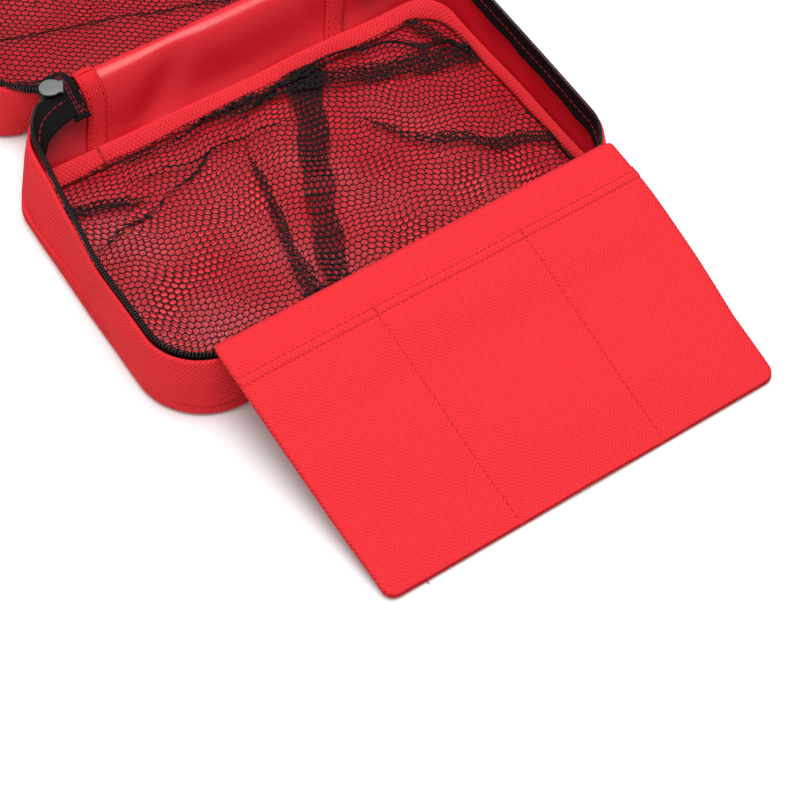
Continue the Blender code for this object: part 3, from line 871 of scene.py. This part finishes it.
def foldCloth(points, pleats):
    # lays each pleat: within 1.5 widths of its line the cloth goes forward, back and forward
    # again in three layers; beyond that both sides have moved together by one width, and this
    # pull dies away with exp(-distance / pull)
    points = points.copy()
    for start, end, widths, bow, fades in pleats:
        start, end = np.array(start, float), np.array(end, float)
        span = np.linalg.norm(end - start)
        ahead = (end - start) / span
        aside = np.array([-ahead[1], ahead[0]])
        offset = points[:, :2] - start
        l = np.clip(offset @ ahead / span, 0, 1)
        taper = smoothStep(l, 0, fades[0]) * (1 - smoothStep(l, 1 - fades[1], 1.0))
        uneven = 1 + 0.12 * np.sin(l * span / 4.3 + start[0])
        width = between(widths, l) * taper * uneven
        q = offset @ aside - bow * 4 * l * (1 - l)
        w = np.maximum(width, 1e-6)
        beyond = np.abs(q) - 1.5 * w
        outer = -np.sign(q) * w * np.exp(-np.maximum(beyond, 0) / netLook["pull"])
        inner = np.where(np.abs(q) <= 0.5 * w, -2 * q, -np.sign(q) * w)
        shift = np.where(beyond > 0, outer, inner) * (width > 1e-5)
        climb = np.clip(q / (3 * w) + 0.5, 0, 1)
        fade = np.where(q > 0, np.exp(-np.maximum(beyond, 0) / 12.0), 1.0)
        points[:, :2] += aside * shift[:, None]
        points[:, 2] += 2 * netLook["layer"] * climb * fade * np.clip(width / 2.0, 0, 1)
    return points


def keepInside(points, low, high, radius):
    # moves points that lie outside a round-cornered rectangle back to its edge
    centre = (np.array(low) + high) / 2
    half = (np.array(high) - low) / 2 - radius
    local = points[:, :2] - centre
    core = np.clip(local, -half, half)
    away = local - core
    distance = np.linalg.norm(away, axis=1)
    over = distance > radius
    scale = np.where(over, radius / np.maximum(distance, 1e-9), 1.0)
    points[:, :2] = centre + core + away * scale[:, None]
    return np.maximum(distance - radius, 0)


def buildNet(prefix, isLid, seed):
    # a hexagonal net laid out flat, each mesh a hexagon with a round-cornered hole, pulled a
    # little askew, then folded
    look = netLook
    pocket = pockets[prefix]
    pitch = look["pitch"]
    plan = halves[prefix]["floorPlan"]
    inside = pocket["inside"]
    low = plan.min(0) + [inside[0], inside[1]]
    high = plan.max(0) - [inside[2], inside[3]]
    reach = look["spare"]
    columns = np.arange(int((high[0] - low[0] + 2 * reach) / (pitch * np.sqrt(0.75))))
    rows = np.arange(int((high[1] - low[1] + 2 * reach) / pitch))
    i, j = np.meshgrid(columns, rows, indexing="ij")
    centres = np.stack([i * pitch * np.sqrt(0.75), (j + 0.5 * (i % 2)) * pitch], -1).reshape(-1, 2)
    centres -= centres.mean(0)
    corner = np.radians(np.arange(6) * 60)
    outer = np.stack([np.cos(corner), np.sin(corner)], 1) * pitch / np.sqrt(3)
    around = np.radians(np.arange(12) * 30)
    hole = pitch / 2 - look["cord"] / 2
    holeRadius = np.where(np.arange(12) % 2 == 0, hole * 1.09, hole)
    inner = np.stack([np.cos(around), np.sin(around)], 1) * holeRadius[:, None]
    every = (centres[:, None, :] + np.concatenate([outer, inner])[None, :, :]).reshape(-1, 2)
    middle = (low + high) / 2

    def lay(flat):
        pulled = flat * [1, look["stretch"]]
        pulled[:, 1] += look["shear"] * flat[:, 0]
        pulled = pulled + middle
        slack = np.stack([ripples(*pulled.T, 60.0, seed + 3), ripples(*pulled.T, 60.0, seed + 4)], 1)
        pulled = pulled + look["slack"] * slack
        return foldCloth(np.concatenate([pulled, np.zeros((len(flat), 1))], 1), pocket["pleats"])

    outside = keepInside(lay(centres), low, high, look["corner"])
    kept = np.repeat(outside < 0.9, 18)
    key = np.round(every[kept] / 0.01).astype(np.int64)
    _, first, number = np.unique(key, axis=0, return_index=True, return_inverse=True)
    placed = lay(every[kept][first])
    number = number.ravel().reshape(-1, 18)
    k = np.arange(6)
    o1, o2 = number[:, k], number[:, (k + 1) % 6]
    a, b, c = number[:, 6 + 2 * k], number[:, 7 + 2 * k], number[:, 6 + 2 * ((k + 1) % 6)]
    top = np.concatenate([
        np.stack([o1, b, a], -1).reshape(-1, 3),
        np.stack([o1, o2, b], -1).reshape(-1, 3),
        np.stack([o2, c, b], -1).reshape(-1, 3),
    ])
    keepInside(placed, low, high, look["corner"])
    x, y = placed[:, 0], placed[:, 1]
    sag = 0.9 * ripples(x, y, 45.0, seed) + 0.25 * ripples(x, y, 18.0, seed + 1)
    placed[:, 2] += look["rest"] + np.clip(sag + 0.8, 0, 3.0)
    count = len(placed)
    upper = placed + [0, 0, look["thick"] / 2]
    lower = placed - [0, 0, look["thick"] / 2]
    ringEdges = np.concatenate([
        np.stack([a, b], -1).reshape(-1, 2), np.stack([b, c], -1).reshape(-1, 2)])
    first, second = ringEdges.T
    walls = np.stack([first, second, second + count, first + count], 1)
    border = boundaryEdges(top, ringEdges)
    rim = np.stack([border[:, 0], border[:, 0] + count, border[:, 1] + count, border[:, 1]], 1)
    everyPoint = np.concatenate([upper, lower])
    faces = [np.concatenate([top, top[:, ::-1] + count]), np.concatenate([walls, rim])]
    if isLid:
        everyPoint = flipToLid(everyPoint)
        faces = [f[:, ::-1] for f in faces]
    net = makePiece(f"{prefix}Net", everyPoint, faces, finishes["net"], smooth=False)
    attach(net, prefix, "black_net", f"{prefix}_mesh_pocket", f"{prefix}_mesh_elastic")
    # the cut size of the net before folding; about 0.4 of it is thread, counted all round
    print(prefix, "net:", int(kept.sum() / 18), "meshes,", len(net.data.polygons), "faces")


def boundaryEdges(triangles, exclude):
    # directed edges used by one triangle only, without the hole edges
    edges = np.concatenate([triangles[:, [0, 1]], triangles[:, [1, 2]], triangles[:, [2, 0]]])
    ordered = np.sort(edges, 1)
    size = int(triangles.max()) + 1
    code = ordered[:, 0] * size + ordered[:, 1]
    values, counts = np.unique(code, return_counts=True)
    single = np.isin(code, values[counts == 1])
    skip = np.sort(exclude, 1)
    single &= ~np.isin(code, skip[:, 0] * size + skip[:, 1])
    return edges[single]


buildNet("base", False, 5)
buildNet("lid", True, 9)


# flap
flapLow, flapHigh = nodeBox("flap_backing")
flapHinge = jointPoint("flap_hinge")
# left and right edge, y and z are each given at the fold over the rim and at the free edge
flapLook = {
    "left": (flapLow[0] - 1.2, flapLow[0] + 3.9), "right": (flapHigh[0] + 3.0, flapHigh[0] + 2.6),
    "y": (-63.2, flapLow[1] - 0.1), "z": (32.6, 1.0),
    "corner": 5.0, "length": 118.0, "backing": 0.9, "pocket": 0.8,
    "mouth": 12.4, "hem": (14.5, 18.1), "dividers": (-28.0, 42.5),
    "sag": 2.2, "rise": 0.9, "ripple": 0.6, "rightBow": 2.2, "threadX": -79.0,
}


def spacedFor(low, high, step, marks, reach, fine):
    # values from low to high, closer together round each mark
    coarse = np.linspace(low, high, int((high - low) / step) + 1)
    clusters = [np.arange(mark - reach, mark + reach + fine / 2, fine) for mark in marks]
    values = np.unique(np.round(np.concatenate([coarse, *clusters]), 3))
    values = values[(values >= low) & (values <= high)]
    return values[np.concatenate([[True], np.diff(values) > fine * 0.45])]


def flapPlace(x, v, lift):
    # x across in the flap's own cloth, v in mm from the fold down to its free edge; it hangs a
    # little slack from the rim to the ground: z drops by sag sin(pi t)(1 - t) below straight,
    # rises over the rim, and carries soft ripples; each sewn line draws the cloth down
    look = flapLook
    t = np.clip(v / look["length"], 0, 1)
    below = np.clip((v - (look["length"] - look["corner"])) / look["corner"], 0, 1)
    tuck = look["corner"] * (1 - np.sqrt(np.maximum(1 - below**2, 0)))
    left = between(look["left"], t) + tuck
    right = between(look["right"], t) - tuck + look["rightBow"] * np.sin(np.pi * np.clip(t / 0.75, 0, 1))
    middle = (look["left"][0] + look["right"][0]) / 2
    half = (look["right"][0] - look["left"][0]) / 2
    share = (x - middle) / half
    across = (left + right) / 2 + share * (right - left) / 2
    y, z = between(look["y"], t), between(look["z"], t)
    z = z - look["sag"] * np.sin(np.pi * t) * (1 - t)
    z = z + look["rise"] * np.sin(np.pi * np.clip(t * 2.6, 0, 1))
    ripple = look["ripple"] * ripples(x, v, 75.0, 31)
    z = z + ripple * smoothStep(v, 0, 30) * (1 - 0.6 * smoothStep(v, 95, look["length"]))
    z = z + 0.5 * np.exp(-(((x - right) / 22) ** 2) - ((v - 10) / 14) ** 2)
    if lift > 0:
        sewn = smoothStep(v, look["hem"][1] - 1, look["hem"][1] + 4)
        for divider in look["dividers"]:
            z = z - 0.3 * np.exp(-(((x - divider) / 1.3) ** 2)) * sewn
        for line in look["hem"]:
            z = z - 0.2 * np.exp(-(((v - line) / 0.7) ** 2))
        tube = smoothStep(v, look["hem"][0] - 0.2, look["hem"][0] + 1.0)
        tube = tube * (1 - smoothStep(v, look["hem"][1] - 1.0, look["hem"][1] + 0.2))
        z = z + 0.45 * tube + 0.35 * smoothStep(v, look["hem"][1], look["hem"][1] + 9)
        # the layers are pressed together along the hemmed edges
        edge = np.minimum(np.minimum(across - left, right - across), look["length"] - v)
        z = z - 0.12 * np.exp(-(((edge - 3.2) / 1.0) ** 2))
    return np.stack([across, y + lift * 0.26, z + lift], -1)


def flapGrid(start, lift):
    look = flapLook
    x = spacedFor(look["left"][0], look["right"][0], 1.7, look["dividers"], 3.0, 0.4)
    marks = look["hem"] + (look["length"] - 3.2, look["length"])
    v = spacedFor(start, look["length"], 1.4, marks, 2.0, 0.35)
    xs, vs = np.meshgrid(x, v, indexing="ij")
    return flapPlace(xs, vs, lift), np.stack([xs, vs], -1)


def buildFlap():
    # the backing, with a strip that runs down inside the wall, and the pocket panel on top of it
    look = flapLook
    grid, uv = flapGrid(0.0, 0.0)
    x = grid[:, :1, 0]
    # from the line sewn inside the wall, up and over the rim to the fold
    inside = np.array([[flapHinge[1], flapHinge[2] - 0.3], [-58.6, 26.0], [-58.9, 30.6], [-60.0, 32.2],
                       [-61.6, 32.9]])
    lead = np.empty((len(x), len(inside), 3))
    narrow = np.array([0.86, 0.87, 0.92, 0.97, 0.995])
    middle = x.mean()
    lead[..., 0] = middle + (x - middle) * narrow[None, :]
    lead[..., 1] = inside[None, :, 0]
    lead[..., 2] = inside[None, :, 1] + (grid[:, :1, 2] - look["z"][0]) * np.linspace(0, 1, 5)[None, :]
    whole = np.concatenate([lead, grid], 1)
    back = -lengthAlong(inside)[::-1] - 1.6
    leadUv = spread(uv[:, :1, 0], back[None, :])
    wholeUv = np.concatenate([leadUv, uv], 1)
    backing = thickSheet("flapBacking", whole, wholeUv, look["backing"], [finishes["oxford"]], flip=True)
    attach(backing, "flap", "red_oxford", "flap_backing", "flap_hinge_strip")
    pocketGrid, pocketUv = flapGrid(look["mouth"], 1.0)
    pocket = thickSheet(
        "flapPocketPanel", pocketGrid, pocketUv, look["pocket"], [finishes["oxford"]], flip=True)
    attach(pocket, "flap", "red_oxford", "flap_pocket_panel", "flap_pocket_hem")


def sewFlap():
    # the pocket's hem, its two dividers with a short bar of stitches at the top of each, and the
    # thread end left at the free edge
    look = flapLook
    low, high = look["left"][0], look["right"][0]

    def onTop(x, v):
        x, v = np.broadcast_arrays(np.asarray(x, float), np.asarray(v, float))
        return flapPlace(x, v, 1.0) + [0, 0.1, look["pocket"] / 2 + 0.04]

    rows = [(onTop(np.linspace(low + 1.5, high - 1.5, 300), line), 3.1, 2.45) for line in look["hem"]]
    for divider in look["dividers"]:
        rows.append((onTop(divider, np.linspace(look["hem"][1], look["length"] - 1.5, 160)), 3.1, 2.45))
        rows.append((onTop(divider, np.linspace(look["hem"][0] - 0.5, look["hem"][1] + 0.8, 12)), 0.9, 1.6))
        rows.append((onTop(np.linspace(divider - 0.8, divider + 0.8, 8), look["hem"][0] + 1.6), 0.8, 1.4))
    for number, (path, pitch, length) in enumerate(rows):
        attach(buildStitches(f"flapStitches{number + 1}", path, pitch, length), "flap", "red_oxford")
    t = np.linspace(0, 1, 24)
    start = flapPlace(np.array([look["threadX"]]), np.array([look["length"]]), 0.0)[0]
    path = start + np.stack([2.6 * t + 0.6 * np.sin(5 * t), 0.4 * np.sin(4 * t) - t, 0.2 - 0.7 * t], 1)
    forward = unit(np.gradient(path, axis=0))
    aside = unit(np.cross(forward, [0.0, 0.0, 1.0]))
    points, faces = tube(path, aside, np.cross(forward, aside), oval(6, 0.18, 0.18))
    end = makePiece("flapThreadEnd", points, faces, finishes["thread"])
    attach(turnOutward(end), "flap", "red_oxford")


buildFlap()
sewFlap()
print("flap built")


# sliders and zip ends
def shieldOutline(side, x, length, width, count=40):
    # round at the mouth, straight flanks, slightly hollow where it narrows to the tail
    half = width / 2
    a = np.linspace(-np.pi / 2, np.pi / 2, count)
    nose = np.stack([length / 2 - half + half * np.cos(a), half * np.sin(a)], 1)
    flank = np.array([[-0.18, 0.93], [-0.30, 0.72], [-0.5, 0.70]]) * [length, half]
    outline = np.concatenate([nose, flank, flank[::-1] * [1, -1]])
    outline = resample(np.concatenate([outline, outline[:1]]), 73)[:-1]
    return np.stack([side * (outline[:, 0] + x), outline[:, 1] + shell["ridgeY"]], 1)


def domedPlate(outline, zLow, zHigh, dome):
    # a plate with rounded edges: rings of the outline, drawn in as they rise
    centre = outline.mean(0)
    steps = [(0.02, zLow), (0.90, zLow), (0.985, zLow + 0.12), (1.0, zLow + 0.4)]
    steps += [(0.985, zHigh - 0.35), (0.93, zHigh - 0.08)]
    steps += [(f, zHigh + dome * (1 - f**2)) for f in (0.8, 0.5, 0.02)]
    steps = np.array(steps)[:, None, :]
    flat = centre + (outline - centre) * steps[..., :1]
    points = np.concatenate([flat, np.broadcast_to(steps[..., 1:], (*flat.shape[:2], 1))], -1)
    rows, columns = points.shape[:2]
    return points.reshape(-1, 3), [gridQuads(rows, columns, False, True), endFans(rows, columns)]


def joinParts(name, parts, material):
    # several closed shapes as one piece
    points, faces, shift = [], {3: [], 4: []}, 0
    for p, fs in parts:
        points.append(p)
        for f in fs:
            faces[f.shape[1]].append(f + shift)
        shift += len(p)
    lists = [np.concatenate(f) for f in faces.values() if f]
    return turnOutward(makePiece(name, np.concatenate(points), lists, material))


def boxPart(low, high):
    # a box between two corners
    low, high = np.array(low, float), np.array(high, float)
    corners = np.array([[i, j, k] for i in (0, 1) for j in (0, 1) for k in (0, 1)], float)
    faces = np.array([
        [0, 1, 3, 2], [4, 6, 7, 5], [0, 4, 5, 1], [2, 3, 7, 6], [0, 2, 6, 4], [1, 5, 7, 3]])
    return low + corners * (high - low), [faces]


def turned(points, centre, degrees):
    # points turned about a vertical line through centre
    angle = np.radians(degrees)
    x, y = points[..., 0] - centre[0], points[..., 1] - centre[1]
    out = np.array(points, float)
    out[..., 0] = centre[0] + x * np.cos(angle) - y * np.sin(angle)
    out[..., 1] = centre[1] + x * np.sin(angle) + y * np.cos(angle)
    return out


def buildSlider(side, label):
    # top and bottom plates joined by a wedge, and an arch underneath that holds the pull;
    # the plates' heights are from the zip's line
    look = {"x": 78.2, "length": 10.4, "width": 9.2, "turn": {"Left": -26.0, "Right": 0.0}[label],
            "top": (1.35, 2.45, 0.18), "bottom": (-2.6, -1.75, 0.0), "arch": (2.0, 3.0),
            "bar": (0.7, 0.4), "softEdge": 0.12}
    x, y, z = look["x"], shell["ridgeY"], shell["height"]
    outline = shieldOutline(side, x, look["length"], look["width"])
    parts = [domedPlate(outline, z + low, z + high, dome) for low, high, dome in (look["top"], look["bottom"])]
    parts += [
        boxPart((side * (x + 3.6) - 0.6, y - 0.4, z - 1.9), (side * (x + 3.6) + 0.6, y + 0.4, z + 1.9)),
    ]
    parts = [(turned(points, (side * x, y), look["turn"]), faces) for points, faces in parts]
    a = np.linspace(0, np.pi, 16)
    wide, deep = look["arch"]
    arch = spread(side * x + wide * np.cos(a), y, z - 2.2 - deep * np.sin(a))
    across = np.broadcast_to([0.0, 1.0, 0.0], arch.shape)
    normal = unit(np.cross(np.gradient(arch, axis=0), across))
    profile = np.array([[-1, -1], [1, -1], [1, 1], [-1, 1]]) * look["bar"]
    parts.append(tube(arch, across, normal, profile))
    body = joinParts(f"sliderBody{label}", parts, finishes["metal"])
    attach(body, f"slider_{label.lower()}", "slider_metal", f"slider_body_{label.lower()}")
    bevel = body.modifiers.new("softEdges", "BEVEL")
    bevel.width = look["softEdge"] * mm
    bevel.segments = 2
    bevel.limit_method = "ANGLE"


def buildZipEnd(side, label):
    # the black end tab: a folded strip across both tapes, draped over the fold. At r from it the
    # tab has gone slope[0] r across and slope[1] (sqrt(r r + bend) - sqrt(bend)) down.
    # It is sewn with a double row and a cross, and the last teeth run on from it to the slider.
    look = {"inner": 68.2, "outer": 75.5, "reach": (12.0, 18.5), "thick": 1.1, "slope": (0.8, 0.67),
            "bend": 40.0, "lift": 0.85, "wave": 0.35, "rows": (3.4, 4.6), "crossAt": (2.0, 14.5),
            "crossHalf": (1.4, 2.2), "teeth": (70.5, 84.0), "teethSize": (2.0, 0.9)}
    r = np.linspace(-look["reach"][0], look["reach"][1], 60)
    w = np.linspace(look["inner"], look["outer"], 16)

    def place(w, r, lift):
        drop = np.sqrt(r**2 + look["bend"]) - np.sqrt(look["bend"])
        wave = look["wave"] * np.sin(w * 0.9 + r * 0.35) * smoothStep(np.abs(r), 4, 18)
        y = shell["ridgeY"] - look["slope"][0] * r
        z = shell["height"] + look["lift"] - look["slope"][1] * drop + lift + wave
        return spread(side * w, y, z)

    grid = place(w[:, None], r[None, :], 0)
    uv = spread(w[:, None], r[None, :])
    tab = thickSheet(f"zipEndTab{label}", grid, uv, look["thick"], [finishes["tape"]], flip=side > 0)
    pieces = [tab]
    cross = np.linspace(-1, 1, 9)
    rows = [place(look["inner"] + offset, r[3:-3], 0.62) for offset in look["rows"]]
    (crossW, crossR), (halfW, halfR) = look["crossAt"], look["crossHalf"]
    for slant in (1, -1):
        rows.append(place(look["inner"] + crossW + halfW * cross, crossR + slant * halfR * cross, 0.68))
    for number, row in enumerate(rows):
        pieces.append(buildStitches(f"zipEndStitches{label}{number + 1}", row, 2.2, 1.9, 0.17))
    for piece in pieces:
        bendOverFold(piece)
    # the last closed teeth, between the tab and the slider
    ridgeX = np.linspace(*look["teeth"], 60)
    line = spread(side * ridgeX, shell["ridgeY"], shell["height"])
    across = np.broadcast_to([0.0, 1.0, 0.0], line.shape)
    up = np.broadcast_to([0.0, 0.0, 1.0], line.shape)
    beads = (1 + 0.12 * np.cos(ridgeX / zipLook["pitch"] * 2 * np.pi))[:, None]
    points, faces = tube(line, across * beads, up * beads, oval(12, *look["teethSize"]))
    end = turnOutward(makePiece(f"zipEnd{label}", points, faces, finishes["coil"]))
    node = f"zip_end_{label.lower()}"
    attach(end, node, "black_coil", node)


def buildPull(label):
    # a flat tapered tab with a window at the top, through which the slider's arch passes, and a
    # raised rim
    low, high = nodeBox(f"pull_tab_{label.lower()}")
    middle = (low + high) / 2
    wide, thick = high[1] - low[1], high[0] - low[0]
    top, bottom = high[2] - 0.2, low[2] + 0.2
    edge = oval(64, 1.0, 1.0)
    edgeY, edgeZ = (np.sign(edge) * np.abs(edge) ** 0.55).T
    half = (top - bottom) / 2
    z = (top + bottom) / 2 + half * edgeZ
    taper = 1 - 0.28 * smoothStep(z, bottom, top)
    outer = np.stack([middle[1] + edgeY * wide / 2 * taper, z], 1)
    windowZ = top - 2.6
    window = np.stack([middle[1] + 1.25 * edgeY, windowZ + 1.5 * edgeZ], 1)
    sheet = thick * 0.32
    rings = [(outer, -sheet), (outer, sheet), (window, sheet), (window, -sheet)]
    points = np.stack([spread(middle[0] + x, ring[:, 0], ring[:, 1]) for ring, x in rings])
    parts = [(points.reshape(-1, 3), [gridQuads(4, 64, True, True)])]
    centre = outer.mean(0)
    path = np.concatenate([np.full((64, 1), middle[0]), centre + (outer - centre) * 0.93], 1)
    path = np.concatenate([path, path[:1]])
    forward = unit(np.gradient(path, axis=0))
    up = np.broadcast_to([1.0, 0.0, 0.0], path.shape)
    aside = np.cross(forward, up)
    parts.append(tube(path[:-1], up[:-1], aside[:-1], oval(10, thick / 2, 0.45), closed=True))
    pull = joinParts(f"pullTab{label}", parts, finishes["metal"])
    attach(pull, f"pull_{label.lower()}", "slider_metal", f"pull_tab_{label.lower()}")


for sideSign, sideName in ((-1, "Left"), (1, "Right")):
    buildSlider(sideSign, sideName)
    buildZipEnd(sideSign, sideName)
    buildPull(sideName)
print("sliders built")


# floor, light and camera
def buildStudio():
    # a pale floor, an even sky and two square lamps: place (m), power (W), size (m)
    look = {"floor": (0.80, 0.80, 0.80), "half": 4.0, "sky": 0.46,
            "keyLight": ((0.15, 0.15, 1.8), 43.0, 1.5), "fillLight": ((-1.4, -0.6, 1.1), 3.0, 1.2)}
    corners = np.array([[-1, -1, 0], [1, -1, 0], [1, 1, 0], [-1, 1, 0]]) * look["half"] / mm
    stageFloor = makePiece("studioFloor", corners, np.array([[0, 1, 2, 3]]), [], smooth=False)
    stageFloor.data.materials.append(newMaterial("paleFloor", look["floor"], 0.9)[0])
    world = bpy.data.worlds.new("studioSky")
    world.use_nodes = True
    background = world.node_tree.nodes["Background"]
    background.inputs[0].default_value = (1, 1, 1, 1)
    background.inputs[1].default_value = look["sky"]
    bpy.context.scene.world = world
    for name in ("keyLight", "fillLight"):
        place, power, size = look[name]
        lamp = bpy.data.lights.new(name, "AREA")
        lamp.shape = "SQUARE"
        lamp.size = size
        lamp.energy = power
        light = bpy.data.objects.new(name, lamp)
        light.location = place
        light.rotation_euler = (-Vector(place)).to_track_quat("-Z", "Y").to_euler()
        bpy.context.collection.objects.link(light)
    scene = bpy.context.scene
    scene.view_settings.view_transform = "Standard"
    scene.view_settings.look = "None"


def buildCamera():
    view = {"place": (-281.3, -480.8, 665.9), "target": (-31.1, -101.9, 0.0), "lens": 91.16}
    lens = bpy.data.cameras.new("studioCamera")
    lens.lens = view["lens"]
    lens.sensor_width = 36
    lens.clip_end = 50
    camera = bpy.data.objects.new("studioCamera", lens)
    place = Vector(view["place"]) * mm
    aim = Vector(view["target"]) * mm - place
    turn = aim.to_track_quat("-Z", "Y").to_matrix().to_4x4()
    camera.matrix_world = Matrix.Translation(place) @ turn
    bpy.context.collection.objects.link(camera)
    bpy.context.scene.camera = camera


buildStudio()
buildCamera()
